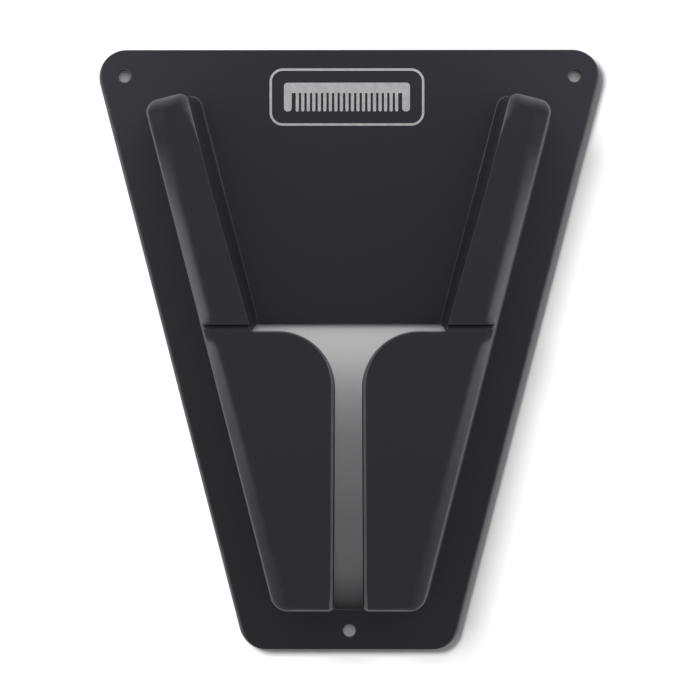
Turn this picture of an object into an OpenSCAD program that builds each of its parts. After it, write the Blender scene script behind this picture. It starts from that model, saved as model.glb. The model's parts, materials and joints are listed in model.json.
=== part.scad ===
// Wall holder for a hair clipper: one thin-walled black moulding with a printed badge.
// Front view is drawn in X (right) and Z (up); the wall plane is Y = 0 and the front faces -Y.
// The origin is the midpoint between the two upper screw holes, on the wall plane.

/* [Mounting plate] */
// Height of the mounting plate
plate_h = 200; // [190:1:210]
// Distance from the centre line to each sloping side, square to that side
plate_side = 81.3; // [79:0.1:84]
// Lean of the sloping sides from vertical, in degrees
taper = 14.4; // [13.5:0.1:15]
// Radius of the plate's four corners
plate_corner_r = 9.2; // [7:0.1:11]
// Thickness of the plate
plate_t = 2.5; // [2:0.1:3]
// Height of the plate's top edge above the upper screw holes
hole_margin = 8.7; // [8:0.1:10]

/* [Screw holes] */
// Distance between the two upper screw holes
hole_spacing = 150; // [148:1:152]
// Drop from the upper screw holes to the lower one
hole_drop = 185; // [184:1:186]
// Diameter of each screw hole
hole_d = 4.2; // [3.5:0.1:5]

/* [Arms] */
// Width of the flat flange outside the arms and the pocket
flange_w = 13.1; // [12:0.1:14]
// Width of each arm where it meets the plate
arm_w = 17.7; // [16:0.1:19]
// Depth of the arms from the wall to their front face
arm_depth = 37.4; // [34:0.1:38]
// Distance along the arm from the origin's level to its upper end
arm_top = 6.1; // [4:0.1:7]
// Planform radius of each arm's outer upper corner
arm_outer_r = 5.5; // [4:0.1:6]
// Planform radius of each arm's inner upper corner
arm_inner_r = 3.8; // [3:0.1:5]

/* [Pocket] */
// Depth of the pocket from the wall to its front face
pocket_depth = 38; // [38:0.1:40]
// Height of the pocket's top edge, below the upper screw holes
pocket_top_drop = 85.3; // [84.8:0.1:86]
// Height of the back panel's lower edge, below the upper screw holes
panel_drop = 82.7; // [82:0.1:83.5]
// Height of the pocket's floor wall, below the upper screw holes
pocket_floor_drop = 177.5; // [176:0.1:178]
// Planform radius of the pocket's lower corners
pocket_corner_r = 7.3; // [5:0.1:9]
// Width of the cord slot
slot_w = 9; // [8:0.1:12]
// Radius of the flare where the slot meets the pocket's top edge
flare_r = 18.5; // [16:0.1:20]

/* [Walls] */
// Wall thickness of the arms and the pocket
wall = 2.5; // [2:0.1:3]
// Draft of the walls that stand on the plate, in degrees
draft = 2.2; // [1:0.1:3]
// Radius between the front faces and the walls
front_r = 6; // [5:0.5:7]
// Width of the groove between each arm and the pocket
groove_w = 1.4; // [0.8:0.1:1.8]
// Depth of that groove
groove_d = 1.1; // [0.5:0.1:1.5]

/* [Badge] */
// Width of the badge border
badge_w = 51.6; // [45:0.1:56]
// Height of the badge border
badge_h = 19.1; // [16:0.1:22]
// Outer corner radius of the badge border
badge_r = 4.4; // [3:0.1:6]
// Line width of the badge border
badge_line = 0.8; // [0.6:0.05:1.2]
// Height of the badge's centre, below the upper screw holes
badge_drop = 7.1; // [6:0.1:9]
// How far the print sits to the left of the centre line
badge_shift = 0.8; // [0:0.1:2]
// Thickness of the raised print
ink_t = 0.2; // [0.1:0.05:0.3]
// Length of the comb pictogram
comb_l = 42; // [36:0.5:44]
// Height of the comb pictogram
comb_h = 9.6; // [8:0.1:11]
// Number of teeth on the comb
comb_teeth = 19; // [13:2:23]

/* [Hidden] */
$fn = 96;
eps = 0.01;
corner_steps = 10;
fillet_steps = 8;
least_corner_r = 1.2;
plate_bottom = plate_h - hole_margin;
body_side = plate_side - flange_w;
joint_drop = 84;
arms_lowest = joint_drop + 30;
slot_foot_drop = pocket_floor_drop - 0.4;
black = [0.17, 0.17, 0.18];
silver = [0.70, 0.70, 0.71];

// An outline is a list of sides in counter-clockwise order. A side is
// [angle of its outward normal, its distance from the origin, radius of the corner after it].
plate_sides = [
    [-90, plate_bottom, plate_corner_r],
    [-taper, plate_side, plate_corner_r],
    [90, hole_margin, plate_corner_r],
    [180 + taper, plate_side, plate_corner_r],
];
arm_sides = [
    [-90, arms_lowest, least_corner_r],
    [-taper, body_side, arm_outer_r],
    [90 - taper, arm_top, arm_inner_r],
    [180 - taper, arm_w - body_side, least_corner_r],
];
pocket_sides = [
    [-90, pocket_floor_drop, pocket_corner_r],
    [-taper, body_side, least_corner_r],
    [90, -panel_drop + wall, least_corner_r],
    [180 + taper, body_side, pocket_corner_r],
];

// Point where two lines meet, each given by its normal's angle and its distance
function meet(a, da, b, db) =
    [da * sin(b) - db * sin(a), db * cos(a) - da * cos(b)] / sin(b - a);

// Turn from one side's normal to the next one's, always anticlockwise
function turn(a, b) = (b - a + 720) % 360;

function corner_r(side, inset) = max(side[2] - inset, least_corner_r);

// Centre of the rounded corner after side i, with the outline moved inwards by inset
function corner_centre(sides, i, inset) =
    let (
        s = sides[i],
        t = sides[(i + 1) % len(sides)],
        in = inset + corner_r(s, inset)
    )
    meet(s[0], s[1] - in, t[0], t[1] - in);

// The rounded outline as points, with the same number of points for any inset
function ring(sides, inset, height) = [
    for (i = [0 : len(sides) - 1])
        let (
            s = sides[i],
            t = sides[(i + 1) % len(sides)],
            c = corner_centre(sides, i, inset),
            r = corner_r(s, inset)
        )
        for (k = [0 : corner_steps])
            let (a = s[0] + turn(s[0], t[0]) * k / corner_steps)
            [c.x + r * cos(a), c.y + r * sin(a), height]
];

// Wall profile from the plate to the front face, as pairs of inset and height
function profile(depth, edge_r) =
    let (lean = tan(draft) * (depth - edge_r - plate_t))
    concat(
        [[0, plate_t]],
        [
            for (k = [0 : fillet_steps])
                let (a = 90 * k / fillet_steps)
                [lean + edge_r * (1 - cos(a)), depth - edge_r * (1 - sin(a))]
        ]
    );

// Stands a drawing made in X and Y, with its height along Z, up against the wall
module upright() {
    rotate([90, 0, 0])
        children();
}

// Flat outline with true round corners
module rounded_2d(sides, inset = 0) {
    last = len(sides) - 1;
    polygon([
        for (i = [0 : last])
            let (
                s = sides[i],
                t = sides[(i + 1) % len(sides)],
                c = corner_centre(sides, i, inset),
                r = corner_r(s, inset)
            )
            for (a = [s[0], t[0]])
                c + r * [cos(a), sin(a)]
    ]);
    for (i = [0 : last])
        translate(corner_centre(sides, i, inset))
            circle(r = corner_r(sides[i], inset));
}

// Solid that fills the outline at the plate, leans in by the draft and has a round front edge
module drafted_block(sides, depth, inset = 0, foot = plate_t) {
    steps = profile(depth - inset, front_r - inset);
    rings = concat(
        foot < plate_t ? [[0, foot]] : [],
        steps
    );
    n = len(sides) * (corner_steps + 1);
    last = len(rings) - 1;
    points = [
        for (r = rings)
            each ring(sides, r[0] + inset, r[1])
    ];
    walls = [
        for (j = [0 : last - 1])
            for (k = [0 : n - 1])
                let (
                    a = j * n + k,
                    b = j * n + (k + 1) % n
                )
                each [[a, a + n, b + n], [a, b + n, b]]
    ];
    foot_face = [for (k = [0 : n - 1]) k];
    front_face = [for (k = [n - 1 : -1 : 0]) last * n + k];
    upright()
        polyhedron(points, concat(walls, [foot_face, front_face]), convexity = 6);
}

// Everything at least drop below the upper screw holes, to the right of x_from
module below(drop, x_from = -plate_h) {
    translate([x_from, -2 * pocket_depth, -plate_h - drop])
        cube([2 * plate_h, 3 * pocket_depth, plate_h]);
}

// Bore for one wall screw
module screw_bore(x, drop) {
    translate([x, eps, -drop])
        rotate([90, 0, 0])
            cylinder(d = hole_d, h = plate_t + 2 * eps);
}

// Cord slot with its flared mouth, seen from the front; it runs out through the pocket's floor
module slot_2d() {
    flare_drop = pocket_top_drop + flare_r;
    flare_x = slot_w / 2 + flare_r;
    translate([-slot_w / 2, -pocket_floor_drop - 1])
        square([slot_w, pocket_floor_drop - pocket_top_drop + 2]);
    difference() {
        translate([-flare_x, -flare_drop])
            square([2 * flare_x, flare_r + 1]);
        for (side = [-1, 1])
            translate([side * flare_x, -flare_drop])
                circle(r = flare_r);
    }
}

// Gap between the arms above the pocket's top edge, seen from the front
module mouth_2d() {
    gap_side = body_side - arm_w + tan(draft) * arm_depth;
    top = joint_drop - 4;
    function gap_x(drop) = (gap_side - drop * sin(taper)) / cos(taper);
    polygon([
        [-gap_x(top), -top],
        [-gap_x(pocket_top_drop), -pocket_top_drop],
        [gap_x(pocket_top_drop), -pocket_top_drop],
        [gap_x(top), -top],
    ]);
}

// Hollow channel of the right-hand arm, open at the back and at the pocket
module arm_shell() {
    groove_low = joint_drop + groove_w / 2;
    difference() {
        drafted_block(arm_sides, arm_depth);
        drafted_block(arm_sides, arm_depth, wall, -1);
        below(joint_drop);
        translate([0, -2 * arm_depth + groove_d, -groove_low])
            cube([plate_side, arm_depth, groove_w]);
    }
}

// Right-hand half of the pocket: its half of the front, its side and its half of the floor
module pocket_half_shell() {
    difference() {
        intersection() {
            drafted_block(pocket_sides, pocket_depth);
            below(joint_drop, 0);
        }
        drafted_block(pocket_sides, pocket_depth, wall, -1);
        upright()
            linear_extrude(2 * pocket_depth) {
                slot_2d();
                mouth_2d();
            }
    }
}

module mounting_plate() {
    color(black)
        difference() {
            upright()
                linear_extrude(plate_t)
                    difference() {
                        rounded_2d(plate_sides);
                        rounded_2d(pocket_sides, wall);
                        for (side = [0, 1])
                            mirror([side, 0])
                                rounded_2d(arm_sides, wall);
                        translate([-slot_w / 2, -slot_foot_drop])
                            square([slot_w, 2 * wall]);
                    }
            for (x = [-1, 1] * hole_spacing / 2)
                screw_bore(x, 0);
            screw_bore(0, hole_drop);
        }
}

module left_arm() {
    color(black)
        mirror([1, 0, 0])
            arm_shell();
}

module right_arm() {
    color(black)
        arm_shell();
}

module left_pocket_half() {
    color(black)
        mirror([1, 0, 0])
            pocket_half_shell();
}

module right_pocket_half() {
    color(black)
        pocket_half_shell();
}

// Rectangle with round corners, centred on the badge
module badge_2d(w, h, r) {
    for (size = [[w, h - 2 * r], [w - 2 * r, h]])
        square(size, center = true);
    for (x = [-1, 1] * (w / 2 - r), y = [-1, 1] * (h / 2 - r))
        translate([x, y])
            circle(r = r);
}

// Raised print on the front face of the plate
module print_on_plate() {
    translate([-badge_shift, -plate_t, -badge_drop])
        upright()
            linear_extrude(ink_t)
                children();
}

module badge_border() {
    color(silver)
        print_on_plate()
            difference() {
                badge_2d(badge_w, badge_h, badge_r);
                badge_2d(badge_w - 2 * badge_line, badge_h - 2 * badge_line, badge_r - badge_line);
            }
}

// Plain comb: a rounded spine with even teeth between two thicker end guards
module badge_comb() {
    spine_h = comb_h * 0.36;
    guard_w = 2.6;
    tooth_r = 0.45;
    pitch = (comb_l - 2 * guard_w) / (comb_teeth + 1);
    color(silver)
        print_on_plate() {
            translate([0, comb_h / 2 - spine_h / 2])
                badge_2d(comb_l, spine_h, spine_h / 2.2);
            for (side = [-1, 1])
                translate([side * (comb_l - guard_w) / 2, 0])
                    badge_2d(guard_w, comb_h, guard_w / 2.2);
            for (i = [1 : comb_teeth])
                translate([-comb_l / 2 + guard_w + i * pitch, 0])
                    badge_2d(pitch * 0.58, comb_h, tooth_r);
        }
}

mounting_plate();
left_arm();
right_arm();
left_pocket_half();
right_pocket_half();
badge_border();
badge_comb();
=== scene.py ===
import json
from math import cos, exp, pi, radians, sin, tan

import bmesh
import bpy
import numpy as np
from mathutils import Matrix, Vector
from mathutils.geometry import delaunay_2d_cdt


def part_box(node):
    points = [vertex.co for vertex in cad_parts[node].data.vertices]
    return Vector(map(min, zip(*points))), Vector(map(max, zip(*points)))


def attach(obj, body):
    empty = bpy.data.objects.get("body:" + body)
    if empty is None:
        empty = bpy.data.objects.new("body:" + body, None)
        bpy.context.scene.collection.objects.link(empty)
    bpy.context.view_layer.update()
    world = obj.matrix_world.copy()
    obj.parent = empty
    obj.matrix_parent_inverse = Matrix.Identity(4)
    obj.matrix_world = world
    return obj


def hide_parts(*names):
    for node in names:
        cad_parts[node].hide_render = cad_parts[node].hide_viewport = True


# The looks of the wall-mounted clipper holder: one moulded shell built as a single closed mesh,
# the printed badge from the frame with its own material, and a plain studio around them.
#
# The shell is worked out in millimetres as (x, z, depth), where depth is the distance in front of
# the wall, and only for its right half. The mirror image and the frame's axes come at the end.
# A wall's cross-section is a list of rows (inset, depth, tilt) from its foot to the flat front.
# The inset is measured inwards from the side's line at the plate. The tilt is the angle of the
# surface's normal: 0 faces sideways and a right angle faces forwards.

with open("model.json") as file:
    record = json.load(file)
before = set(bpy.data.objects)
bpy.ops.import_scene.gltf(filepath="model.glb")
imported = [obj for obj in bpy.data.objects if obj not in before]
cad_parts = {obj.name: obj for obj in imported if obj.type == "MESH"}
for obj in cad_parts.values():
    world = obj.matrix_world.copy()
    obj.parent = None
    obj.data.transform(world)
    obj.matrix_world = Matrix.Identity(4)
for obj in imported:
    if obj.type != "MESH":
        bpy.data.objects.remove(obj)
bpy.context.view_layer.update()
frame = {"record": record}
MM = 0.001

# ---- Driving dimensions of the shell, in millimetres and degrees ----

# Outline
TAPER = radians(14.4)  # lean of the plate's sides, the arms and the pocket's sides
PLATE_CORNER_R = 9.2
POCKET_CORNER_R = 7.3
ARM_OUTER_R = 5.5
ARM_INNER_R = 3.8
LEAST_R = 1.4  # no corner of the outline gets sharper than this
INNER_SHRINK = 0.4  # how fast the arms' inner corner tightens towards the front
TOP_LIFT = 0.28  # how far the arms' upper ends stand above the frame's
VALLEY_SHIFT = 0.3  # how far the feet of their inner walls stand inside the frame's

# Walls
WALL = 2.5  # thickness of the arms and the pocket
OUTER_DRAFT = 2.2  # lean of the outer walls and the arms' upper ends
FLOOR_DRAFT = 3.2  # lean of the pocket's floor
VALLEY_DRAFT = 3.8  # lean of the arms' inner walls
MOUTH_DRAFT = 1.9  # to which they get steeper, down to the pocket's mouth
STEEPER_Z = -42.0  # height where that starts
BASE_R = 0.6  # hollow round between the walls and the plate's face
BACK_R = 1.2  # round edge where the hollows open at the back
LEDGE_W = 0.2  # fine ledge along the arms' inner walls
LEDGE_DEPTH = (13.6, 14.0, 14.2, 14.6)  # its two edges, between two rows that hold the wall flat
FRONT_CLEAR = 0.4  # least distance from the top of a wall to its last row

# Front edges
SIDE_EDGE_R = 1.25  # small round where an outer wall meets the soft slope
SLOPE_W = 2.7  # width of the soft slope
BEND_W = 1.6  # width of the bend from the slope to the flat front
ROUND_TILT = 56.0  # where a plain round edge goes over into its softer part
FLOOR_EDGE_R = 1.3
VALLEY_EDGE_R = 0.15
MOUTH_EDGE_R = 0.2  # the arms' inner edge beside the pocket's mouth
MOUTH_EASE = 3.0  # length over which that edge changes, above the back panel's edge
TOP_EDGE_R = 0.6  # small round at the front of an arm's upper end
TOP_TILT = 41.0  # lean of the soft slope behind that round
TOP_SOFT_W = 3.3  # and its width
TOP_OUTER_Z, TOP_INNER_Z = -14.0, -9.0  # heights of an arm's upper corners
SOFT_Z = -25.0  # height where the arms' inner edge starts to turn soft
HOLLOW_EDGE_R = 0.6  # front edges inside the hollows
HOLLOW_SOFT = 0.4  # width of their soft slopes, as a share of the front ones
STRIP_W = 3.4  # faint slope along the arms' inner front edge
STRIP_DROP = 0.14
STRIP_UP_Z = (-34.0, -16.0)  # heights over which it fades out upwards
STRIP_DOWN_Z = (-79.0, -70.0)  # and downwards
PLAIN_STRIP = 0.6

# Tilts of the soft slope at its outer and inner edge. Down the pocket the outer one falls
# towards LOW_TILT and the inner one from MID_TILT by TILT_FALL; up the arms both fade to nothing.
LOW_TILT, LOW_RISE, LOW_FADE, LOW_Z = 24.0, 21.0, 22.0, -91.4
MID_TILT, TILT_FALL, FALL_Z = 31.0, 19.0, (105.0, 172.0)
ARM_TILTS, ARM_FADES, ARM_FADE_Z = (47.0, 35.0), (13.0, 15.0), -20.9
CLEAR_BELOW = 0.3  # beside the groove, centred this far below the mouth, the slope
CLEAR_NEAR, CLEAR_FAR = 0.8, 5.2  # is flat up to the first distance and full past the second
CLEAR_WIDTH = 0.35  # its width there, as a share

# Plate
RIM_SIDE_R = 1.5  # front edge along its sides
RIM_END_R = 0.35  # the same along its top and bottom
RIM_BACK_R = 0.5
RIM_TURN = radians(55)  # how far round a corner the sides' edge reaches
HOLE_EDGE_R = 0.35

# Slot, mouth and groove
FLARE_R = 18.5
SLOT_HALF_TOP = 4.3
SLOT_HALF_FOOT = 4.65
LIP_W = 0.9  # bevel along the slot's front edge
LIP_LEAN = 0.42  # how far the cut face leans in behind the bevel
LIP_EXTRA = 0.3  # how much wider the bevel gets at the pocket's floor
LIP_WIDER_Z = (-169.0, -174.0)
MOUTH_LIP_W = 0.3  # the same bevel along the pocket's straight top edge
MOUTH_LEAN = 0.1
LIP_BACK_R = 0.4  # back edges of the slot and of the pocket's mouth
FOOT_CORNER_R = 1.7  # round of the slot's corners at the pocket's floor
FOOT_BASE_R = 0.5  # the same at the plate
NOTCH_GAP = 0.25  # from the floor's foot to the slot's notch in the plate
PANEL_LIP = 0.25  # front edge under the back panel
GROOVE_DEPTH = 0.95
GROOVE_HALF = 0.74
GROOVE_ENDS = (1.9, 3.1)  # insets over which the groove starts
LEVEL_HALF = 0.4  # half the height over which the front steps up to the pocket

# ---- Dimensions read from the frame ----

plate_lo, plate_hi = (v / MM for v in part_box("mounting_plate"))
arm_lo, arm_hi = (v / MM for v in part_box("right_arm"))
half_lo, half_hi = (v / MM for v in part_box("right_pocket_half"))
mounts = {m["name"]: m for m in frame["record"]["mounts"]}
hole_dims = mounts["upper_screw_holes"]["dims"]

PLATE_T = -plate_lo.y
ARM_DEPTH = -arm_lo.y
POCKET_DEPTH = -half_lo.y
JOINT_Z = half_hi.z
MOUTH_Z = JOINT_Z - 1.3  # top edge of the pocket's front
PANEL_Z = JOINT_Z + 1.35  # lower edge of the back panel
FLOOR_Z = half_lo.z
SIN_T, COS_T = sin(TAPER), cos(TAPER)
PLATE_SIDE = (
    (plate_hi.x - PLATE_CORNER_R) * COS_T - (plate_hi.z - PLATE_CORNER_R) * SIN_T + PLATE_CORNER_R
)
BODY_SIDE = half_hi.x * COS_T - JOINT_Z * SIN_T
VALLEY_SIDE = arm_lo.x * COS_T - JOINT_Z * SIN_T
ARM_TOP = (
    (arm_hi.z - ARM_INNER_R + (VALLEY_SIDE + ARM_INNER_R) * SIN_T) / COS_T + ARM_INNER_R + TOP_LIFT
)
HOLE_X = hole_dims["spacing_x_mm"] / 2
HOLE_R = hole_dims["hole_r_mm"]
LOWER_HOLE_Z = mounts["lower_screw_hole"]["pos_m"][2] / MM

# ---- Levels of a wall's cross-section, from its foot to its front face ----

BASE_STEPS = 5
WALL_STEPS = len(LEDGE_DEPTH) + 1
EDGE_STEPS = 4
SLOPE_STEPS = 4
BEND_STEPS = 4
SOFT_STEPS = SLOPE_STEPS + BEND_STEPS
Q = BASE_STEPS + WALL_STEPS  # level of the front sheet's back face, at the mouth
WALL_TOP = Q + 1
FRONT = WALL_TOP + EDGE_STEPS + SOFT_STEPS
LAST = FRONT + 1
CORNER_STEPS = 8
LIP_POINTS = FRONT - Q + 1  # points across a cut edge
EDGE_WEAR = 0.35  # wear of the walls' front edges; cut edges have 1


def ramp(lo, hi, value):
    """Smooth step from 0 at lo to 1 at hi."""
    t = min(max((value - lo) / (hi - lo), 0.0), 1.0)
    return t * t * (3 - 2 * t)


def ramp_linear(lo, hi, value):
    return min(max((value - lo) / (hi - lo), 0.0), 1.0)


def mix(a, b, t):
    return a + (b - a) * t


def spread(first, last, count):
    return [mix(first, last, i / (count - 1)) for i in range(count)]


# Sides of the raised body, as the angle of the outward normal and the distance from the origin,
# and the corners between them
FLOOR, OUTER, TOP, VALLEY = range(4)
ANGLE = [-pi / 2, -TAPER, pi / 2 - TAPER, pi - TAPER]
DISTANCE = [-FLOOR_Z, BODY_SIDE, ARM_TOP, VALLEY_SHIFT - VALLEY_SIDE]
CORNER_R = [POCKET_CORNER_R, ARM_OUTER_R, ARM_INNER_R]
CORNER_SHRINK = [1.0, 1.0, INNER_SHRINK]

# ---- Cross-sections ----


def front_level(z):
    """Depth of the front face, which steps up slightly from the arms to the pocket."""
    return mix(POCKET_DEPTH, ARM_DEPTH, ramp(JOINT_Z - LEVEL_HALF, JOINT_Z + LEVEL_HALF, z))


def groove_at(z):
    """Depth of the groove at the joint line."""
    return GROOVE_DEPTH * max(1 - ((z - JOINT_Z) / GROOVE_HALF) ** 2, 0.0)


def draft_of(side, z):
    """Lean of a side's wall off straight forwards."""
    if side == VALLEY:
        return radians(mix(MOUTH_DRAFT, VALLEY_DRAFT, ramp_linear(MOUTH_Z, STEEPER_Z, z)))
    return radians(FLOOR_DRAFT if side == FLOOR else OUTER_DRAFT)


def round_edge(radius):
    """Plain round front edge: its radius, then the tilts and widths of its softer part."""
    tilts = spread(ROUND_TILT, 0.0, SOFT_STEPS + 1)
    sines = [sin(radians(t)) for t in tilts]
    return radius, tilts, [radius * (a - b) for a, b in zip(sines, sines[1:])]


def slope_tilts(z):
    """Tilts of the soft slope at its outer and inner edge."""
    if z < JOINT_Z:
        return (
            LOW_TILT + LOW_RISE * exp((z - LOW_Z) / LOW_FADE),
            MID_TILT - TILT_FALL * ramp(*FALL_Z, -z),
        )
    down_arm = max(ARM_FADE_Z - z, 0.0)
    return [tilt * (1 - exp(-down_arm / fade)) for tilt, fade in zip(ARM_TILTS, ARM_FADES)]


def side_edge(z):
    """Front edge of an outer side: a small round, a soft slope and a bend into the flat front."""
    outer, inner = slope_tilts(z)
    clear = ramp(CLEAR_NEAR, CLEAR_FAR, abs(z - MOUTH_Z + CLEAR_BELOW))
    tilts = spread(outer, inner, SLOPE_STEPS + 1) + spread(inner, 0.0, BEND_STEPS + 1)[1:]
    widths = [SLOPE_W / SLOPE_STEPS] * SLOPE_STEPS + [BEND_W / BEND_STEPS] * BEND_STEPS
    share = mix(CLEAR_WIDTH, 1.0, clear)
    return SIDE_EDGE_R, [t * clear for t in tilts], [w * share for w in widths]


def top_edge():
    """Front edge of an arm's upper end: a small round, then a slope that eases into the front."""
    return TOP_EDGE_R, spread(TOP_TILT, 0.0, SOFT_STEPS + 1), [TOP_SOFT_W / SOFT_STEPS] * SOFT_STEPS


def valley_edge(z):
    """Front edge of an arm's inner side: nearly sharp, easing into the upper end's soft edge."""
    radius = mix(VALLEY_EDGE_R, MOUTH_EDGE_R, ramp(PANEL_Z + MOUTH_EASE, MOUTH_Z, z))
    plain, soft = round_edge(radius), top_edge()
    share = ramp(SOFT_Z, TOP_INNER_Z, z)
    blended = [[mix(a, b, share) for a, b in zip(plain[i], soft[i])] for i in (1, 2)]
    return mix(plain[0], soft[0], share), *blended


def edge_shape(side, z):
    if side == FLOOR:
        return round_edge(FLOOR_EDGE_R)
    if side == OUTER:
        return side_edge(z)
    return top_edge() if side == TOP else valley_edge(z)


def strip_of(side, z):
    """Width and drop of the faint slope beside the front edge."""
    if side != VALLEY:
        return PLAIN_STRIP, 0.0
    near_top = ramp(*STRIP_UP_Z, z)
    return mix(STRIP_W, PLAIN_STRIP, near_top), STRIP_DROP * ramp(*STRIP_DOWN_Z, z) * (1 - near_top)


def front_rows(level, draft, shape, foot):
    """Rows over a front edge, from the top of its wall to the flat front."""
    radius, tilts, widths = shape
    tilts = [radians(t) for t in tilts]
    drops = [0.0]
    for width, a, b in reversed(list(zip(widths, tilts, tilts[1:]))):
        drops.insert(0, drops[0] + width * tan((a + b) / 2))
    turn = pi / 2 - tilts[0]
    wall_top = level - drops[0] - radius * (sin(turn) - sin(draft))
    start = foot(wall_top)
    rows = []
    for a in spread(draft, turn, EDGE_STEPS + 1):
        inset = start + radius * (cos(draft) - cos(a))
        rows.append((inset, wall_top + radius * (sin(a) - sin(draft)), a))
    for width, tilt, drop in zip(widths, tilts[1:], drops[1:]):
        rows.append((rows[-1][0] + width, level - drop, pi / 2 - tilt))
    return rows


def wall_profile(draft, foot_r, foot_depth, shift, level, sheet_back, shape, ledge=0.0):
    """Rows of one surface: round foot, leaning wall, perhaps with a ledge, and front edge."""

    def on_wall(depth):
        step = ledge * ramp_linear(LEDGE_DEPTH[1], LEDGE_DEPTH[2], depth)
        return tan(draft) * (depth - PLATE_T) + shift + step

    foot_top = foot_depth + foot_r * (1 - sin(draft))
    centre = on_wall(foot_top) - foot_r * cos(draft)
    rows = []
    for a in spread(pi / 2, draft, BASE_STEPS + 1):
        rows.append((centre + foot_r * cos(a), foot_depth + foot_r * (1 - sin(a)), a))
    front = front_rows(level, draft, shape, on_wall)
    top = min(sheet_back, front[0][1] - FRONT_CLEAR)
    for depth in (*LEDGE_DEPTH, top):
        rows.append((on_wall(depth), depth, draft))
    return rows + front


def outer_profile(side, z):
    """Rows of the front surface."""
    level = front_level(z)
    strip, drop = strip_of(side, z)
    groove = groove_at(z)
    edge_level = level - drop - (groove if side == VALLEY else 0.0)
    ledge = LEDGE_W if side == VALLEY else 0.0
    rows = wall_profile(
        draft_of(side, z), BASE_R, PLATE_T, 0.0, edge_level, level - WALL, edge_shape(side, z), ledge
    )
    if side == OUTER:
        for k in range(WALL_TOP, FRONT + 1):
            inset, depth, tilt = rows[k]
            rows[k] = inset, depth - groove * ramp(*GROOVE_ENDS, inset), tilt
    return rows + [(rows[-1][0] + strip, level - groove, pi / 2)]


def inner_profile(side, z):
    """Rows of the back surface, WALL behind the front one, with the same levels."""
    draft = draft_of(side, z)
    level = front_level(z) - WALL
    strip, _ = strip_of(side, z)
    if side == FLOOR:
        shape = round_edge(HOLLOW_EDGE_R)
    else:
        _, tilts, widths = edge_shape(side, z)
        shape = HOLLOW_EDGE_R, tilts, [w * HOLLOW_SOFT for w in widths]
    rows = wall_profile(draft, BACK_R, 0.0, WALL / cos(draft), level, level, shape)
    return rows + [(rows[-1][0] + strip, level, pi / 2)]


# ---- Outline of the raised body, as stations from the slot's foot round to the mouth ----


def meet(a, da, b, db):
    """Point where two lines meet, each given by its normal's angle and its distance."""
    s = sin(b - a)
    x = (da * sin(b) - db * sin(a)) / s
    z = (db * cos(a) - da * cos(b)) / s
    return x, z


def corner_point(corner, insets, t):
    """Point at share t of the round corner after a side, for the insets of its two sides."""
    before, after = corner, corner + 1
    r = max(CORNER_R[corner] - CORNER_SHRINK[corner] * (insets[0] + insets[1]) / 2, LEAST_R)
    cx, cz = meet(
        ANGLE[before], DISTANCE[before] - insets[0] - r,
        ANGLE[after], DISTANCE[after] - insets[1] - r,
    )
    a = mix(ANGLE[before], ANGLE[after], t)
    return cx + r * cos(a), cz + r * sin(a)


def x_on_side(side, inset, z):
    return (DISTANCE[side] - inset - z * sin(ANGLE[side])) / cos(ANGLE[side])


# Heights of the stations along the sides. The joint's stations are dense: they are given by
# their height over the joint line, and made into shares of the way down to the pocket's mouth.
LOWER_Z = [-166.0, -152.0, -138.0, -124.0, -110.0, -100.0, -95.0, -92.0] + spread(-90.5, -86.2, 6)
UPPER_Z = [-80.4, -79.8, -78.5, -76.0, -70.0, -60.0, -50.0, -40.0, -31.0, -24.0]
VALLEY_Z = [-17.0, -20.0, -25.0, -32.0, -42.0, -52.0, -62.0, -70.0, -75.0, -79.0]
FLOOR_SHARES = [0.0, 0.06, 0.2, 0.5, 0.8]
FLOOR_CORNER_Z = FLOOR_Z + 6  # where the pocket's corner takes its side's profile
JOINT_REACH = 3.0
JOINT_GAPS = [JOINT_REACH, 2.0, 1.4, 1.0, 0.85, 0.76] + spread(GROOVE_HALF, -GROOVE_HALF, 9)
JOINT_GAPS += [-0.76, -0.85, -1.0, -1.15, MOUTH_Z - JOINT_Z]
JOINT_ROWS = [(JOINT_REACH - gap) / (JOINT_REACH + JOINT_Z - MOUTH_Z) for gap in JOINT_GAPS]


def joint_z(share, end):
    return mix(JOINT_Z + JOINT_REACH, end, share)


def mouth_edge(depth):
    """Lower edge of the arms' inner walls, which slants from the panel to the pocket's top edge."""
    return mix(PANEL_Z, MOUTH_Z, min((depth - PLATE_T) / (POCKET_DEPTH - WALL - PLATE_T), 1.0))


def foot_lip(level):
    """Width of the slot's cut edge at the floor, by level."""
    wall = mix(FOOT_BASE_R, FOOT_CORNER_R, ramp(BASE_STEPS, WALL_TOP, level))
    return mix(wall, LIP_W + LIP_LEAN + LIP_EXTRA, ramp(WALL_TOP, FRONT, level))


def mouth_lip(level, radius):
    """Radius of the cut edge under the arms' inner walls, by level."""
    return radius * (1 - ramp(BASE_STEPS, Q, level))


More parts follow.
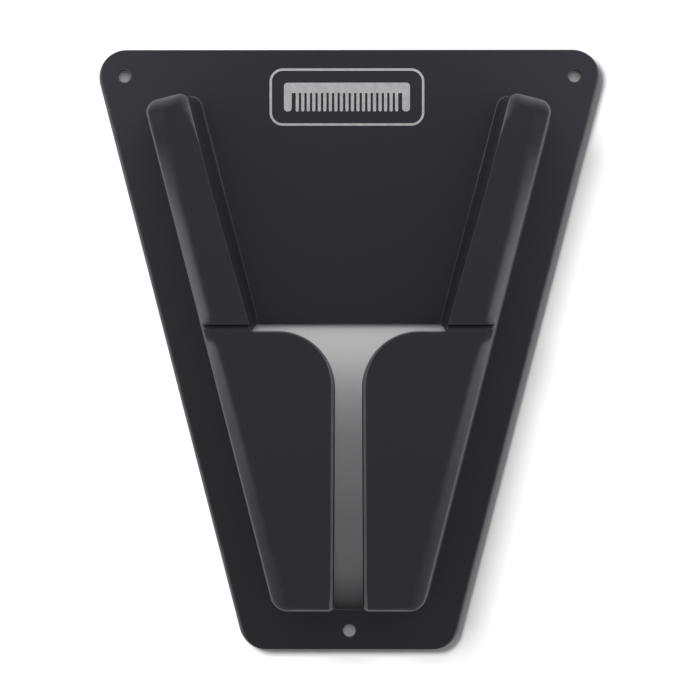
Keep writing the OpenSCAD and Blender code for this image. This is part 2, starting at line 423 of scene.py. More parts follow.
class Grid:
    """One surface of the raised body: a vertex for each level and station."""

    def __init__(self, shell, profile, is_front):
        levels = range(LAST + 1)
        self.profile = profile
        self.slot_lip = [foot_lip(k) if is_front else LIP_BACK_R for k in levels]
        self.mouth_lip = [mouth_lip(k, PANEL_LIP if is_front else LIP_BACK_R) for k in levels]
        self.columns = []
        self.make_stations()
        self.rows = []
        for k in levels:
            wear = EDGE_WEAR if WALL_TOP < k < FRONT else 0.0
            self.rows.append([shell.point(c[k], wear) for c in self.columns])
        for a, b in zip(self.rows, self.rows[1:]):
            shell.strip(a, b)

    def floor(self, share):
        """Station on the pocket's floor, at a share of the way from the slot to the corner."""
        side = self.profile(OUTER, FLOOR_CORNER_Z)
        column = []
        for k, (inset, depth, _) in enumerate(self.profile(FLOOR, FLOOR_Z)):
            x_end, z = corner_point(FLOOR, (inset, side[k][0]), 0.0)
            column.append((mix(SLOT_HALF_FOOT + self.slot_lip[k], x_end, share), z, depth))
        self.columns.append(column)

    def straight(self, side, heights):
        """Station on a straight side, with a height for each level."""
        column = []
        for (inset, depth, _), z in zip(self.profile(side, heights[FRONT]), heights):
            column.append((x_on_side(side, inset, z), z, depth))
        self.columns.append(column)

    def level_straights(self, side, heights):
        for z in heights:
            self.straight(side, [z] * (LAST + 1))

    def corner(self, which, near_z):
        """Stations round a corner."""
        before, after = self.profile(which, near_z), self.profile(which + 1, near_z)
        for t in spread(0, 1, CORNER_STEPS + 1):
            column = []
            for (i0, d0, _), (i1, d1, _) in zip(before, after):
                column.append((*corner_point(which, (i0, i1), t), mix(d0, d1, ramp(0, 1, t))))
            self.columns.append(column)

    def make_stations(self):
        for share in FLOOR_SHARES:
            self.floor(share)
        self.corner(FLOOR, FLOOR_CORNER_Z)
        self.level_straights(OUTER, LOWER_Z)
        self.outer_joint = len(self.columns)
        self.level_straights(OUTER, [joint_z(share, MOUTH_Z) for share in reversed(JOINT_ROWS)])
        self.level_straights(OUTER, UPPER_Z)
        self.corner(OUTER, TOP_OUTER_Z)
        self.corner(TOP, TOP_INNER_Z)
        self.level_straights(VALLEY, VALLEY_Z)
        self.valley_joint = len(self.columns)
        depths = [row[1] for row in self.profile(VALLEY, MOUTH_Z)]
        ends = [mouth_edge(depth) + lip for depth, lip in zip(depths, self.mouth_lip)]
        for share in JOINT_ROWS:
            self.straight(VALLEY, [joint_z(share, end) for end in ends])


# ---- The mesh under construction ----

# Spacing of the inner points of flat faces, in millimetres, and how it is kept, as shares of it
PLATE_PITCH, POCKET_PITCH, ARM_PITCH = 7.0, 6.0, 5.0
ROW_PITCH, POINT_GAP, EDGE_GAP = 0.87, 0.6, 0.45


class Shell:
    """Vertices and faces of the right half of the shell."""

    def __init__(self):
        self.points = []
        self.wear = []
        self.faces = []

    def point(self, xzd, wear=0.0):
        self.points.append(tuple(xzd))
        self.wear.append(wear)
        return len(self.points) - 1

    def face(self, corners):
        kept = [c for i, c in enumerate(corners) if c != corners[i - 1]]
        if len(kept) > 2:
            self.faces.append(kept)

    def strip(self, a, b):
        """Quads between two rows of vertices."""
        for i in range(len(a) - 1):
            self.face([a[i], a[i + 1], b[i + 1], b[i]])

    def strips(self, rows):
        for a, b in zip(rows, rows[1:]):
            self.strip(a, b)

    def fill(self, outline, holes=(), pitch=PLATE_PITCH):
        """Triangles across a flat region, with inner points on an even pitch."""
        loops = [outline, *holes]
        polygons = [[self.points[v][:2] for v in loop] for loop in loops]
        depth = self.points[outline[0]][2]
        flat = [v for loop in loops for v in loop]
        flat += [self.point((x, z, depth)) for x, z in inner_points(polygons, pitch)]
        coords = [Vector(self.points[v][:2]) for v in flat]
        edges = []
        for loop in loops:
            start, n = len(edges), len(loop)
            edges += [(start + i, start + (i + 1) % n) for i in range(n)]
        verts, _, triangles, origins, _, _ = delaunay_2d_cdt(coords, edges, [], 1, 1e-6)
        index = []
        for i, v in enumerate(verts):
            index.append(flat[origins[i][0]] if origins[i] else self.point((v.x, v.y, depth)))
        for triangle in triangles:
            centre = sum((verts[i] for i in triangle), Vector((0, 0))) / 3
            if not any(inside(centre, hole) for hole in polygons[1:]):
                self.face([index[i] for i in triangle])


def inner_points(polygons, pitch):
    """Points on staggered rows inside the first polygon and outside the others."""
    border = np.array([p for polygon in polygons for p in polygon])
    lo, hi = border.min(0), border.max(0)
    points = []
    row = 0
    z = lo[1] + pitch
    while z < hi[1]:
        x = lo[0] + pitch * (0.5 if row % 2 else 1.0)
        while x < hi[0]:
            clear = np.hypot(border[:, 0] - x, border[:, 1] - z).min() > pitch * POINT_GAP
            if clear and inside_all((x, z), polygons, pitch * EDGE_GAP):
                points.append((x, z))
            x += pitch
        z += pitch * ROW_PITCH
        row += 1
    return points


def inside(p, polygon):
    crossed = False
    for i, (x1, z1) in enumerate(polygon):
        x0, z0 = polygon[i - 1]
        if (z0 > p[1]) != (z1 > p[1]) and p[0] < x0 + (p[1] - z0) * (x1 - x0) / (z1 - z0):
            crossed = not crossed
    return crossed


def gap_to(p, polygon):
    """Distance from a point to a polygon's edge."""
    a = np.array(polygon)
    b = np.roll(a, -1, 0)
    d = b - a
    length = np.maximum((d ** 2).sum(1), 1e-12)
    t = np.clip(((np.array(p) - a) * d).sum(1) / length, 0, 1)
    return np.hypot(*(a + d * t[:, None] - np.array(p)).T).min()


def inside_all(p, polygons, margin):
    """True inside the first polygon and outside the others, and margin away from them all."""
    if not inside(p, polygons[0]) or any(inside(p, hole) for hole in polygons[1:]):
        return False
    return min(gap_to(p, polygon) for polygon in polygons) > margin


# ---- Cut edges ----

# Bevel of the slot's front edge, as shares of its width: across it, and back from the front face
BEVEL = [(0.0, 0.0), (0.08, 0.04), (0.3, 0.2), (0.65, 0.47), (0.92, 0.68), (0.99, 0.78), (1.0, 1.0)]
UP, DOWN, INWARDS, FORWARDS = (0.0, 1.0, 0.0), (0.0, -1.0, 0.0), (-1.0, 0.0, 0.0), (0.0, 0.0, 1.0)

SLOT_Z = [-172.6, -171.2, -169.0, -166.0, -160.0, -150.0, -138.0, -126.0, -114.0, -108.0]
FLARE_STEPS = 24
FLARE_FADE = (0.1, 0.9)  # sines of the flare's turn over which the bevel narrows
MOUTH_GAPS = [7.0, 4.0, 2.5, 1.6, 1.0, 0.6, 0.3]  # stations before the mouth's corner
MOUTH_FADE = 1.8  # distance from the corner over which the bevel fades out
LEAST_LIP, LEAST_LEAN = 0.01, 0.001
NOTCH_X = [0.0, 1.6, 3.2]
PANEL_X = [26.0, 20.0, 13.0, 6.0, 0.0]


def lip_column(shell, front, back, toward, out, width, back_r, lean=0.0):
    """Vertices across a cut edge, from a front vertex to a back one.
    toward points into the opening and out is the front surface's normal, both as (x, z, depth).
    With a lean the front edge is a bevel and the cut face leans in behind it, or else it is round."""
    t, n = np.array(toward, float), np.array(out, float)
    a, b = np.array(shell.points[front]), np.array(shell.points[back])
    count = LIP_POINTS // 2
    column = [front]
    for i in range(1, count):
        phi = pi / 2 * i / (count - 1)
        across, down = BEVEL[i] if lean else (sin(phi), 1 - cos(phi))
        column.append(shell.point(a + (width - lean) * (across * t - down * n), 1.0))
    for i in range(count - 1):
        phi = pi / 2 * (1 - i / (count - 1))
        p = b + back_r * sin(phi) * t + back_r * (1 - cos(phi)) * n
        column.append(shell.point(p, 1.0))
    return column + [back]


def out_normal(side, tilt):
    """Front surface's normal for a side's direction and a tilt towards the front."""
    c = cos(tilt)
    return cos(ANGLE[side]) * c, sin(ANGLE[side]) * c, sin(tilt)


def slot_half(z):
    return mix(SLOT_HALF_TOP, SLOT_HALF_FOOT, ramp_linear(MOUTH_Z - FLARE_R, FLOOR_Z, z))


def lip_path(corner_x):
    """Edge of the slot, its flare and the pocket's top, from the slot's foot to the arm.
    Each entry is the point, the direction into the opening, the bevel's width and its lean."""
    path = []
    for z in SLOT_Z:
        width = LIP_W + LIP_EXTRA * ramp(*LIP_WIDER_Z, z)
        path.append((slot_half(z), z, INWARDS, width, LIP_LEAN))
    centre_x, centre_z = SLOT_HALF_TOP + FLARE_R, MOUTH_Z - FLARE_R
    for a in spread(pi, pi / 2, FLARE_STEPS + 1):
        c, s = cos(a), sin(a)
        width = mix(LIP_W, MOUTH_LIP_W, ramp(*FLARE_FADE, s))
        lean = mix(LIP_LEAN, MOUTH_LEAN, s)
        path.append((centre_x + FLARE_R * c, centre_z + FLARE_R * s, (c, s, 0.0), width, lean))
    for gap in MOUTH_GAPS:
        fade = ramp(0.0, MOUTH_FADE, gap)
        width, lean = MOUTH_LIP_W * fade + LEAST_LIP, MOUTH_LEAN * fade + LEAST_LEAN
        path.append((corner_x - gap, MOUTH_Z, UP, width, lean))
    return path


def notch_columns(shell, front):
    """Cut edge of the plate under the slot's foot, from the centre line to its corner."""
    lip = front.slot_lip[0]
    front_z = shell.points[front.rows[0][0]][1] - NOTCH_GAP
    back_z = front_z + lip - LIP_BACK_R
    columns = []
    for x in NOTCH_X:
        ends = shell.point((x, front_z, PLATE_T)), shell.point((x, back_z, 0.0))
        columns.append(lip_column(shell, *ends, UP, FORWARDS, lip, LIP_BACK_R))
    a = shell.point((SLOT_HALF_FOOT + lip, front_z, PLATE_T))
    b = shell.point((SLOT_HALF_FOOT + LIP_BACK_R, back_z, 0.0))
    columns.append(lip_column(shell, a, b, (-1.0, 1.0, 0.0), FORWARDS, lip, LIP_BACK_R))
    return columns


def floor_columns(shell, front, back):
    """Cut edge of the slot through the pocket's floor, from the plate to the front."""
    columns = []
    for k, (_, _, tilt) in enumerate(outer_profile(FLOOR, FLOOR_Z)):
        lean = LIP_LEAN * ramp(WALL_TOP, FRONT, k)
        ends = front.rows[k][0], back.rows[k][0]
        out = out_normal(FLOOR, tilt)
        columns.append(
            lip_column(shell, *ends, INWARDS, out, front.slot_lip[k], LIP_BACK_R, lean)
        )
    return columns


def slot_columns(shell, corner_x):
    """Cut edge of the pocket's front, round the slot and along its top."""
    columns = []
    for x, z, toward, width, lean in lip_path(corner_x):
        t = np.array(toward)
        edge = np.array((x, z, POCKET_DEPTH))
        back_r = min(LIP_BACK_R, width)
        front = shell.point(edge - (width + lean) * t)
        back = shell.point(edge - back_r * t - np.array((0, 0, WALL)))
        columns.append(lip_column(shell, front, back, toward, FORWARDS, width + lean, back_r, lean))
    return columns


def under_columns(shell, front, back):
    """Cut edge under an arm's inner wall, from the pocket's top edge to the plate."""
    profile = outer_profile(VALLEY, MOUTH_Z)
    columns = []
    for k in range(Q, -1, -1):
        ends = front.rows[k][-1], back.rows[k][-1]
        out = out_normal(VALLEY, profile[k][2])
        columns.append(lip_column(shell, *ends, DOWN, out, front.mouth_lip[k], back.mouth_lip[k]))
    return columns


def panel_columns(shell, front_r, back_r):
    """Cut edge under the back panel, to the centre line."""
    columns = []
    for x in PANEL_X:
        front = shell.point((x, PANEL_Z + front_r, PLATE_T))
        back = shell.point((x, PANEL_Z + back_r, 0.0))
        columns.append(lip_column(shell, front, back, DOWN, FORWARDS, front_r, back_r))
    return columns


# ---- Edges of the plate and its holes ----

FOOT_X = [0.0, 6.0, 12.0, 18.0]
HEAD_X = [60.0, 48.0, 36.0, 24.0, 12.0, 0.0]
RIM_CORNER_STEPS = 16
RIM_SIDE_STEPS = 13
HOLE_STEPS = 36
FRONT_ROUND_STEPS, BACK_ROUND_STEPS = 5, 3


def rim_radius(angle):
    """Front edge radius of the plate, by the direction that the edge faces."""
    beside = 1 - min(abs(angle + TAPER) / RIM_TURN, 1.0)
    return mix(RIM_END_R, RIM_SIDE_R, ramp(0.0, 1.0, beside))


def plate_ring(shell, rounding):
    """Half outline of the plate, from the bottom of the centre line round to its top.
    rounding gives the inset and the depth for a front edge radius."""
    angles = [-pi / 2, -TAPER, pi / 2]
    distances = [d - PLATE_CORNER_R for d in (-plate_lo.z, PLATE_SIDE, plate_hi.z)]
    end_inset, end_depth = rounding(RIM_END_R)
    corners = []
    for i in range(2):
        x, z = meet(angles[i], distances[i], angles[i + 1], distances[i + 1])
        corners.append([])
        for a in spread(angles[i], angles[i + 1], RIM_CORNER_STEPS + 1):
            inset, depth = rounding(rim_radius(a))
            r = PLATE_CORNER_R - inset
            corners[i].append((x + r * cos(a), z + r * sin(a), depth))
    first, last = np.array(corners[0][-1]), np.array(corners[1][0])
    side = [mix(first, last, share) for share in spread(0, 1, RIM_SIDE_STEPS + 1)[1:-1]]
    foot = [(x, plate_lo.z + end_inset, end_depth) for x in FOOT_X]
    head = [(x, plate_hi.z - end_inset, end_depth) for x in HEAD_X]
    return [shell.point(p, 1.0) for p in foot + corners[0] + side + corners[1] + head]


def rounded_rim(shell, row_of, back_r):
    """Rows over an edge of the plate; row_of(rounding) makes one row of vertices.
    Only the edge itself is worn, so the first and last rows, which meet flat faces, are not."""
    rows = []
    for phi in spread(0, pi / 2, FRONT_ROUND_STEPS + 1):
        s, c = 1 - sin(phi), 1 - cos(phi)
        rows.append(row_of(lambda r, s=s, c=c: (r * s, PLATE_T - r * c)))
    for phi in spread(pi / 2, 0, BACK_ROUND_STEPS + 1):
        s, c = 1 - sin(phi), 1 - cos(phi)
        rows.append(row_of(lambda r, s=s, c=c: (back_r * s, back_r * c)))
    for i in rows[0] + rows[-1]:
        shell.wear[i] = 0.0
    return rows


def hole_rows(shell, x, z, angles):
    """Rows down a screw hole with small round edges."""

    def ring(rounding):
        inset, depth = rounding(HOLE_EDGE_R)
        r = HOLE_R + inset
        return [shell.point((x + r * cos(a), z + r * sin(a), depth), 1.0) for a in angles]

    return rounded_rim(shell, ring, HOLE_EDGE_R)


# ---- The shell ----

CENTRE_STEPS = 11  # along the centre line, from the plate's top to the back panel's edge
JOINT_STEPS = 6  # across the front face at the joint


def fill_plate(shell, grid, which, rim, holes, panel, notch):
    """Flat face of the plate, front or back; which is 0 for the front and -1 for the back."""
    top, foot = (shell.points[i] for i in (rim[which][-1], panel[-1][which]))
    heights = spread(top[1], foot[1], CENTRE_STEPS + 1)[1:-1]
    centre_line = [shell.point((0.0, z, top[2])) for z in heights]
    upper, lower = holes
    outline = rim[which] + centre_line + [c[which] for c in reversed(panel)]
    outline += reversed(grid.rows[0])
    outline += [c[which] for c in reversed(notch)] + lower[which]
    shell.fill(outline, [upper[which]])


def joint_face(shell, grid):
    """Rows across the front face at the joint, from the arm's side down to the pocket's."""
    last = grid.rows[LAST]
    rows = []
    for j in range(len(JOINT_ROWS)):
        a = last[grid.outer_joint + len(JOINT_ROWS) - 1 - j]
        b = last[grid.valley_joint + j]
        pa, pb = np.array(shell.points[a]), np.array(shell.points[b])
        middle = [shell.point(mix(pa, pb, s / JOINT_STEPS)) for s in range(1, JOINT_STEPS)]
        rows.append([a] + middle + [b])
    shell.strips(rows)
    return rows


def fill_front(shell, grid, which, slot, mouth_corner):
    """Front faces of the pocket half and the arm, or their back sides."""
    last = grid.rows[LAST]
    joint = joint_face(shell, grid)
    outline = last[:grid.outer_joint] + joint[-1] + mouth_corner
    outline += [c[which] for c in reversed(slot)]
    shell.fill(outline, pitch=POCKET_PITCH)
    arm_foot = grid.outer_joint + len(JOINT_ROWS) - 1
    arm = last[arm_foot:grid.valley_joint + 1] + joint[0][-2:0:-1]
    shell.fill(arm, pitch=ARM_PITCH)


def build_half():
    """The right half of the shell, open only along the centre line."""
    shell = Shell()
    front = Grid(shell, outer_profile, True)
    back = Grid(shell, inner_profile, False)

    rim = rounded_rim(shell, lambda rounding: plate_ring(shell, rounding), RIM_BACK_R)
    upper = hole_rows(shell, HOLE_X, 0.0, spread(0.0, 2 * pi, HOLE_STEPS + 1)[:-1])
    half_turn = spread(pi / 2, -pi / 2, HOLE_STEPS // 2 + 1)
    lower = hole_rows(shell, 0.0, LOWER_HOLE_Z, half_turn)
    shell.strips(rim)
    shell.strips([row + row[:1] for row in upper])
    shell.strips(lower)

    # Cut edge of the slot and the mouth, from the centre line at its foot to the arm
    notch = notch_columns(shell, front)
    floor = floor_columns(shell, front, back)
    slot = slot_columns(shell, shell.points[front.rows[FRONT][-1]][0])
    end = [front.rows[k][-1] for k in range(FRONT, Q - 1, -1)]
    shell.strips(notch + floor + slot + [end])

    # Cut edge under the arm's inner wall and the back panel
    under = under_columns(shell, front, back)
    panel = panel_columns(shell, front.mouth_lip[0], back.mouth_lip[0])
    shell.strips(under + panel)
    chain = under[0] + [back.rows[k][-1] for k in range(Q + 1, FRONT)]
    for a, b in zip(chain, chain[1:]):
        shell.face([back.rows[FRONT][-1], a, b])

    for grid, which, more in ((front, 0, []), (back, -1, [front.rows[Q][-1]])):
        fill_plate(shell, grid, which, rim, (upper, lower), panel, notch)
        fill_front(shell, grid, which, slot, [grid.rows[FRONT][-1]] + more)
    return shell


def shell_mesh():
    """Both halves welded into one closed mesh, in metres and in the frame's axes."""
    half = build_half()
    points = np.array(half.points)
    count = len(points)
    on_line = np.abs(points[:, 0]) < 1e-6
    twin = np.where(on_line, np.arange(count), np.arange(count) + count)
    points = np.vstack([points, points * (-1, 1, 1)])
    faces = half.faces + [[int(twin[i]) for i in reversed(f)] for f in half.faces]
    wear = half.wear * 2
    used = sorted({i for f in faces for i in f})
    index = {v: i for i, v in enumerate(used)}
    points = points[used] * MM
    verts = np.stack([points[:, 0], -points[:, 2], points[:, 1]], 1)
    mesh = bpy.data.meshes.new("moulded_shell")
    mesh.from_pydata(verts.tolist(), [], [[index[i] for i in f] for f in faces])
    attribute = mesh.attributes.new("wear", "FLOAT", "POINT")
    attribute.data.foreach_set("value", [wear[i] for i in used])
    return mesh


def face_outwards(mesh):
    bm = bmesh.new()
    bm.from_mesh(mesh)
    bmesh.ops.recalc_face_normals(bm, faces=bm.faces)
    bm.to_mesh(mesh)
    bm.free()
    mesh.update()


def weighted_normals(mesh):
    """Smooth normals in which large flat faces outweigh the small ones of the round edges."""
    sums = np.zeros((len(mesh.vertices), 3))
    for poly in mesh.polygons:
        corners = [mesh.vertices[i].co for i in poly.vertices]
        for j, v in enumerate(poly.vertices):
            before = corners[j - 1] - corners[j]
            after = corners[(j + 1) % len(corners)] - corners[j]
            if before.length > 1e-9 and after.length > 1e-9:
                sums[v] += np.array(poly.normal) * poly.area * before.angle(after)
    lengths = np.maximum(np.linalg.norm(sums, axis=1), 1e-12)
    mesh.polygons.foreach_set("use_smooth", [True] * len(mesh.polygons))
    mesh.normals_split_custom_set_from_vertices((sums / lengths[:, None]).tolist())


# ---- Materials ----

PLASTIC_DARK, PLASTIC_PALE = (0.0076, 0.0075, 0.0098), (0.0096, 0.0095, 0.0120)
PLASTIC_RUBBED = (0.030, 0.029, 0.033)
PLASTIC_TINT = (0.945, 0.925, 1.0, 1.0)  # of the highlights
INK_DARK, INK_PALE = (0.215, 0.210, 0.213), (0.262, 0.256, 0.260)
WALL_WHITE, WALL_MOTTLE = 0.32, 0.01

# Greys of the cards at shares of the plate's height from its foot, which are painted shade: they
#  darken the wall where the pocket and the holes' sides shade it, for what shows through the lower
#  hole, then through the pocket and its slot, and last through the upper holes
PAINTED_SHADE_GREYS = [
    (0.000, 1.00), (0.021, 1.00), (0.042, 0.55), (0.050, 0.30), (0.059, 0.08), (0.075, 0.11),
    (0.097, 0.20), (0.129, 0.36), (0.166, 0.43), (0.226, 0.48), (0.295, 0.53), (0.376, 0.55),
    (0.424, 0.55), (0.456, 0.61), (0.499, 0.73), (0.526, 0.80), (0.560, 0.80), (0.620, 0.30),
    (0.944, 0.56), (0.967, 0.24),
]


class Nodes:
    """Short way to build a node material."""

    def __init__(self, name):
        self.material = bpy.data.materials.new(name)
        self.material.use_nodes = True
        self.tree = self.material.node_tree
        self.tree.nodes.clear()
        self.output = self.add("ShaderNodeOutputMaterial")

    def add(self, kind, links=None, **settings):
        node = self.tree.nodes.new(kind)
        for key, value in settings.items():
            if hasattr(node, key):
                setattr(node, key, value)
            else:
                node.inputs[key.replace("_", " ")].default_value = value
        for key, source in (links or {}).items():
            self.tree.links.new(source, node.inputs[key])
        return node

    def object_coords(self):
        return self.add("ShaderNodeTexCoord").outputs["Object"]

    def noise(self, scale, detail, roughness):
        settings = {"Scale": scale, "Detail": detail, "Roughness": roughness}
        links = {"Vector": self.object_coords()}
        return self.add("ShaderNodeTexNoise", links, **settings).outputs["Fac"]

    def remap(self, source, a, b, c, d):
        node = self.add("ShaderNodeMapRange", {"Value": source})
        for name, value in zip(("From Min", "From Max", "To Min", "To Max"), (a, b, c, d)):
            node.inputs[name].default_value = value
        return node.outputs["Result"]

    def math(self, operation, a, b):
        return math_node(self.tree, operation, a, b)

    def blend(self, factor, a, b):
        """Mix of two colours, of which the first may be a socket."""
        node = self.add("ShaderNodeMix", {"Factor": factor}, data_type="RGBA")
        if isinstance(a, tuple):
            node.inputs[6].default_value = (*a, 1.0)
        else:
            self.tree.links.new(a, node.inputs[6])
        node.inputs[7].default_value = (*b, 1.0)
        return node.outputs[2]

    def rough_shader(self, colour, roughness, height, strength, distance):
        """Principled shader with a fine bump, whose sockets the caller may still set."""
        bump = self.add("ShaderNodeBump", {"Height": height}, Strength=strength, Distance=distance)
        links = {"Base Color": colour, "Roughness": roughness, "Normal": bump.outputs["Normal"]}
        return self.add("ShaderNodeBsdfPrincipled", links)

    def finish(self, shader):
        self.tree.links.new(shader, self.output.inputs["Surface"])
        return self.material


def math_node(tree, operation, a, b):
    """Result of a math node on two numbers or sockets."""
    node = tree.nodes.new("ShaderNodeMath")
    node.operation = operation
    for socket, value in zip(node.inputs, (a, b)):
        if isinstance(value, (int, float)):
            socket.default_value = value
        else:
            tree.links.new(value, socket)
    return node.outputs[0]


def black_plastic():
    """Satin black ABS: fine mould grain, slightly uneven sheen, and edges rubbed slightly paler."""
    n = Nodes("satin_black_abs")
    wear = n.add("ShaderNodeAttribute", attribute_name="wear").outputs["Fac"]
    rub = n.math("MULTIPLY", wear, n.remap(n.noise(160, 5, 0.65), 0.42, 0.72, 0.0, 0.6))
    body = n.blend(n.noise(14, 4, 0.6), PLASTIC_DARK, PLASTIC_PALE)
    sheen = n.remap(n.noise(38, 5, 0.7), 0.3, 0.7, 0.283, 0.297)
    rough = n.math("ADD", sheen, n.math("MULTIPLY", rub, 0.08))
    colour = n.blend(rub, body, PLASTIC_RUBBED)
    shader = n.rough_shader(colour, rough, n.noise(2600, 3, 0.6), 0.10, 0.00007)
    shader.inputs["IOR"].default_value = 1.5
    shader.inputs["Specular Tint"].default_value = PLASTIC_TINT
    return n.finish(shader.outputs[0])


def silver_ink():
    """Pad-printed silver grey ink, with the slight mottling of a thin printed film."""
    n = Nodes("printed_silver_ink")
    colour = n.blend(n.remap(n.noise(420, 4, 0.6), 0.35, 0.7, 0.0, 1.0), INK_DARK, INK_PALE)
    rough = n.remap(n.noise(900, 3, 0.5), 0.3, 0.7, 0.42, 0.58)
    shader = n.rough_shader(colour, rough, n.noise(3000, 2, 0.5), 0.15, 0.00005)
    shader.inputs["Metallic"].default_value = 0.2
    return n.finish(shader.outputs[0])


def studio_paint(name, shade):
    """Matt studio surface that is only there when seen from its front.
    shade gives the node material's grey as a colour socket."""
    n = Nodes(name)
    paint = n.add("ShaderNodeBsdfDiffuse", {"Color": shade(n)})
    clear = n.add("ShaderNodeBsdfTransparent")
    back = n.add("ShaderNodeNewGeometry").outputs["Backfacing"]
    either = n.add("ShaderNodeMixShader", {0: back, 1: paint.outputs[0], 2: clear.outputs[0]})
    return n.finish(either.outputs[0])


def even_white(n):
    dark, pale = WALL_WHITE - WALL_MOTTLE, WALL_WHITE + WALL_MOTTLE
    return n.blend(n.noise(3, 2, 0.5), (dark,) * 3, (pale,) * 3)


def painted_shade_grey(n):
    """Painted shade: grey by height from the table of card greys, standing in for the shadow behind
    the pocket and in the screw holes.
    """
    height = n.add("ShaderNodeSeparateXYZ", {"Vector": n.object_coords()}).outputs["Z"]
    share = n.remap(height, plate_lo.z * MM, plate_hi.z * MM, 0.0, 1.0)
    node = n.add("ShaderNodeValToRGB", {"Fac": share})
    stops = node.color_ramp.elements
    while len(stops) < len(PAINTED_SHADE_GREYS):
        stops.new(1.0)
    for stop, (place, grey) in zip(stops, PAINTED_SHADE_GREYS):
        stop.position = place
        stop.color = (grey, grey, grey, 1.0)
    return node.outputs["Color"]


# ---- The pieces ----

MOULDING_NODES = ("mounting_plate", "left_arm", "right_arm", "left_pocket_half", "right_pocket_half")
BADGE_NODES = ("badge_border", "badge_comb")


def moulded_shell():
    """The black moulding, one piece in place of five nodes."""
    mesh = shell_mesh()
    face_outwards(mesh)
    weighted_normals(mesh)
    mesh.materials.append(black_plastic())
    shell = bpy.data.objects.new("moulded_shell", mesh)
    bpy.context.collection.objects.link(shell)
    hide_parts(*MOULDING_NODES)
    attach(shell, "root")
    return shell


def print_badge():
    """The badge's nodes stay as they are in the frame and only get the ink."""
    ink = silver_ink()
    nodes = [bpy.data.objects[name] for name in BADGE_NODES]
    for node in nodes:
        for slot in node.material_slots:
            slot.material = ink
    return nodes


# ---- Studio, in metres ----

WALL_GAP = 0.004  # from the object's back to the studio's wall
STUDIO_WIDTH = 1.5
STUDIO_TOP = 0.55
STUDIO_FLOOR = -0.75
STUDIO_REACH = 0.9
WALL_ROW = 0.1  # height that the sweep's smooth shading doesn't reach past
SWEEP_R = 0.25
SWEEP_STEPS = 12
CARD_GAP = 0.0002  # from the object's back to the cards
# Millimetres that the window's card reaches above and below the window and stays inside the
# body's sides, and that a hole's card reaches past the hole
CARD_MARGIN = 3.0
HOLE_MARGIN = 0.1
HOLE_CARD_STEPS = 24

CENTRE = Vector((0.0, -0.02, -0.0914))  # the lights aim here
KEY, KEY_SIZE = 104.0, (0.38, 0.38)
WINDOW, WINDOW_SIZE = 2.6, (0.9, 0.55)
WASH, WASH_SIZE = 8.0, (0.4, 0.15)
STRIP, STRIP_SIZE = 18.0, (0.01, 0.2)
STRIP_X, STRIP_Y, STRIP_Z = 0.12, 0.02, 0.05  # beside the plate, level with the arms' fronts
AIR = 0.37  # light from straight ahead
TENT, TENT_POWER = 2.3, 1.5  # what is added towards the sides, and how late
TENT_TOP = 0.12  # share by which the light from above is stronger


def stage_mesh(name, verts, faces, material):
    """Studio surface that is seen and lit, but lights and shades nothing itself."""
    mesh = bpy.data.meshes.new(name)
    mesh.from_pydata(verts, [], faces)
    mesh.polygons.foreach_set("use_smooth", [True] * len(mesh.polygons))
    mesh.materials.append(material)
    obj = bpy.data.objects.new(name, mesh)
    bpy.context.collection.objects.link(obj)
    obj.visible_diffuse = obj.visible_glossy = obj.visible_shadow = False
    return obj


def studio_sweep():
    """White wall behind the object that curves into a pale floor well below it."""
    profile = [(WALL_GAP, z) for z in (STUDIO_TOP, WALL_ROW, STUDIO_FLOOR + SWEEP_R)]
    for a in spread(0, pi / 2, SWEEP_STEPS + 1)[1:]:
        y = WALL_GAP - SWEEP_R * (1 - cos(a))
        profile.append((y, STUDIO_FLOOR + SWEEP_R * (1 - sin(a))))
    profile.append((-STUDIO_REACH, STUDIO_FLOOR))
    verts = [(x, y, z) for x in (-STUDIO_WIDTH / 2, STUDIO_WIDTH / 2) for y, z in profile]
    n = len(profile)
    faces = [(i, i + 1, n + i + 1, n + i) for i in range(n - 1)]
    return stage_mesh("studio_sweep", verts, faces, studio_paint("studio_white", even_white))


def backing_card():
    """Grey cards on the wall, seen only through the pocket, its slot and the screw holes. Their grey
    is painted shade, darker where the pocket and the holes' sides would shade the wall.
    """
    top, foot = PANEL_Z + CARD_MARGIN, FLOOR_Z - CARD_MARGIN
    half_top, half_foot = (x_on_side(OUTER, CARD_MARGIN, z) for z in (top, foot))
    outlines = [[(-half_top, top), (half_top, top), (half_foot, foot), (-half_foot, foot)]]
    r = HOLE_R + HOLE_MARGIN
    angles = spread(0, 2 * pi, HOLE_CARD_STEPS + 1)[:-1]
    for x, z in ((-HOLE_X, 0.0), (HOLE_X, 0.0), (0.0, LOWER_HOLE_Z)):
        outlines.append([(x + r * cos(a), z - r * sin(a)) for a in angles])
    verts, faces = [], []
    for outline in outlines:
        faces.append([len(verts) + i for i in reversed(range(len(outline)))])
        verts += [(x * MM, CARD_GAP, z * MM) for x, z in outline]
    shade_card = stage_mesh("backing_card", verts, faces, studio_paint("studio_painted_shade", painted_shade_grey))
    shade_card.visible_glossy = True
    return shade_card


def collection_of(name, objects):
    group = bpy.data.collections.new(name)
    for obj in objects:
        group.objects.link(obj)
    return group


def softbox(name, place, size, radiance, lights, glossy=True):
    """Rectangular light of the given radiance, aimed at the object and hidden from the camera.
    It lights only one collection."""
    light = bpy.data.lights.new(name, "AREA")
    light.shape = "RECTANGLE"
    light.size, light.size_y = size
    light.energy = radiance * pi * size[0] * size[1]
    obj = bpy.data.objects.new(name, light)
    obj.location = CENTRE + Vector(place)
    obj.rotation_euler = (-Vector(place)).to_track_quat("-Z", "Y").to_euler()
    obj.visible_camera = False
    obj.visible_glossy = glossy
    obj.light_linking.receiver_collection = lights
    bpy.context.collection.objects.link(obj)


def around(off_axis, turn, distance):
    """Place at an angle off the line from the object to the camera; turn 0 is right, 90 is up."""
    a, t = radians(off_axis), radians(turn)
    r = distance * sin(a)
    return r * cos(t), -distance * cos(a), r * sin(t)


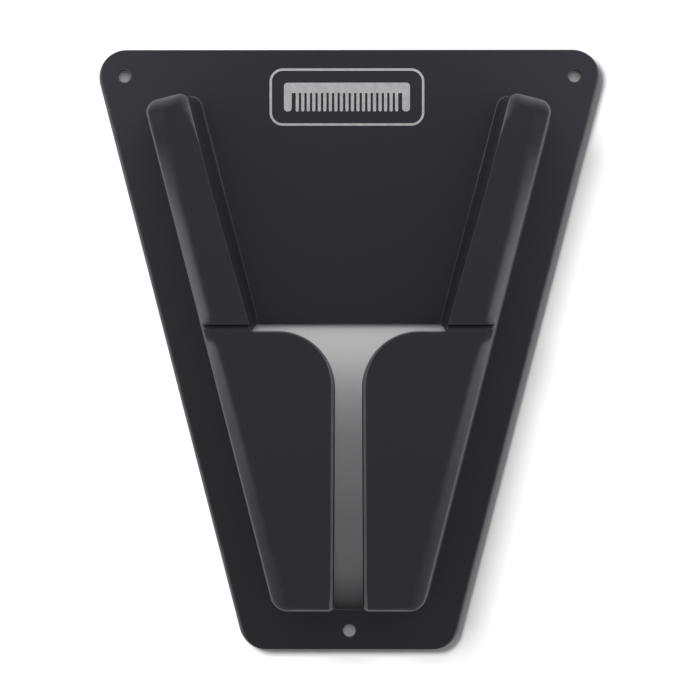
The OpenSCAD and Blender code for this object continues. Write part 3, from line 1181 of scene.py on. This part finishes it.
def studio_tent():
    """Soft light from all round: dim towards the camera and brighter towards the sides and top."""
    world = bpy.data.worlds.new("studio_tent")
    world.use_nodes = True
    tree = world.node_tree
    direction = tree.nodes.new("ShaderNodeSeparateXYZ")
    coords = tree.nodes.new("ShaderNodeTexCoord")
    tree.links.new(coords.outputs["Generated"], direction.inputs[0])
    ahead = math_node(tree, "ABSOLUTE", direction.outputs["Y"], 0.0)
    sideways = math_node(tree, "SUBTRACT", 1.0, ahead)
    tent = math_node(tree, "MULTIPLY", math_node(tree, "POWER", sideways, TENT_POWER), TENT)
    level = math_node(tree, "ADD", AIR, tent)
    top = math_node(tree, "MULTIPLY", direction.outputs["Z"], TENT_TOP)
    level = math_node(tree, "MULTIPLY", level, math_node(tree, "ADD", 1.0, top))
    seen = tree.nodes.new("ShaderNodeLightPath").outputs["Is Camera Ray"]
    background = tree.nodes["Background"]
    tree.links.new(math_node(tree, "MAXIMUM", level, seen), background.inputs["Strength"])
    background.inputs["Color"].default_value = (1.0, 1.0, 1.0, 1.0)
    bpy.context.scene.world = world


# The card's grey is painted shade; the window light only adds to it
def light_studio(pieces, shade_card, sweep):
    backdrop = collection_of("lit_backdrop", [sweep])
    window = collection_of("lit_window", [shade_card])
    only_pieces = collection_of("lit_pieces", pieces)
    softbox("backdrop_key", around(24, 140, 1.2), KEY_SIZE, KEY, backdrop)
    softbox("window_light", around(23, 90, 1.0), WINDOW_SIZE, WINDOW, window)
    softbox("top_wash", around(50, 90, 0.34), WASH_SIZE, WASH, only_pieces, glossy=False)
    for side, name in ((-1, "left_strip"), (1, "right_strip")):
        place = (side * STRIP_X, -STRIP_Y, STRIP_Z)
        softbox(name, place, STRIP_SIZE, STRIP, only_pieces, glossy=False)
    studio_tent()


# ---- Camera ----

CAMERA_DISTANCE = 1.0
CAMERA_X = 0.008
SENSOR_WIDTH = 36.0
PICTURE_WIDTH = 0.7 / 3  # what the picture spans at the plate
PICTURE_CENTRE = (0.0002, -0.0914)
NEAREST = 0.01


def photo_camera():
    """Camera straight in front of the object, a long way off."""
    data = bpy.data.cameras.new("camera")
    data.sensor_width = SENSOR_WIDTH
    data.lens = SENSOR_WIDTH * (CAMERA_DISTANCE - PLATE_T * MM) / PICTURE_WIDTH
    data.clip_start = NEAREST
    camera = bpy.data.objects.new("camera", data)
    camera.location = (CAMERA_X, -CAMERA_DISTANCE, PICTURE_CENTRE[1])
    aim = Vector((PICTURE_CENTRE[0], 0.0, PICTURE_CENTRE[1]))
    camera.rotation_euler = (aim - camera.location).to_track_quat("-Z", "Y").to_euler()
    bpy.context.collection.objects.link(camera)
    bpy.context.scene.camera = camera


# ---- The scene ----

photo_camera()
light_studio([moulded_shell(), *print_badge()], backing_card(), studio_sweep())
bpy.context.scene.view_settings.view_transform = "Standard"
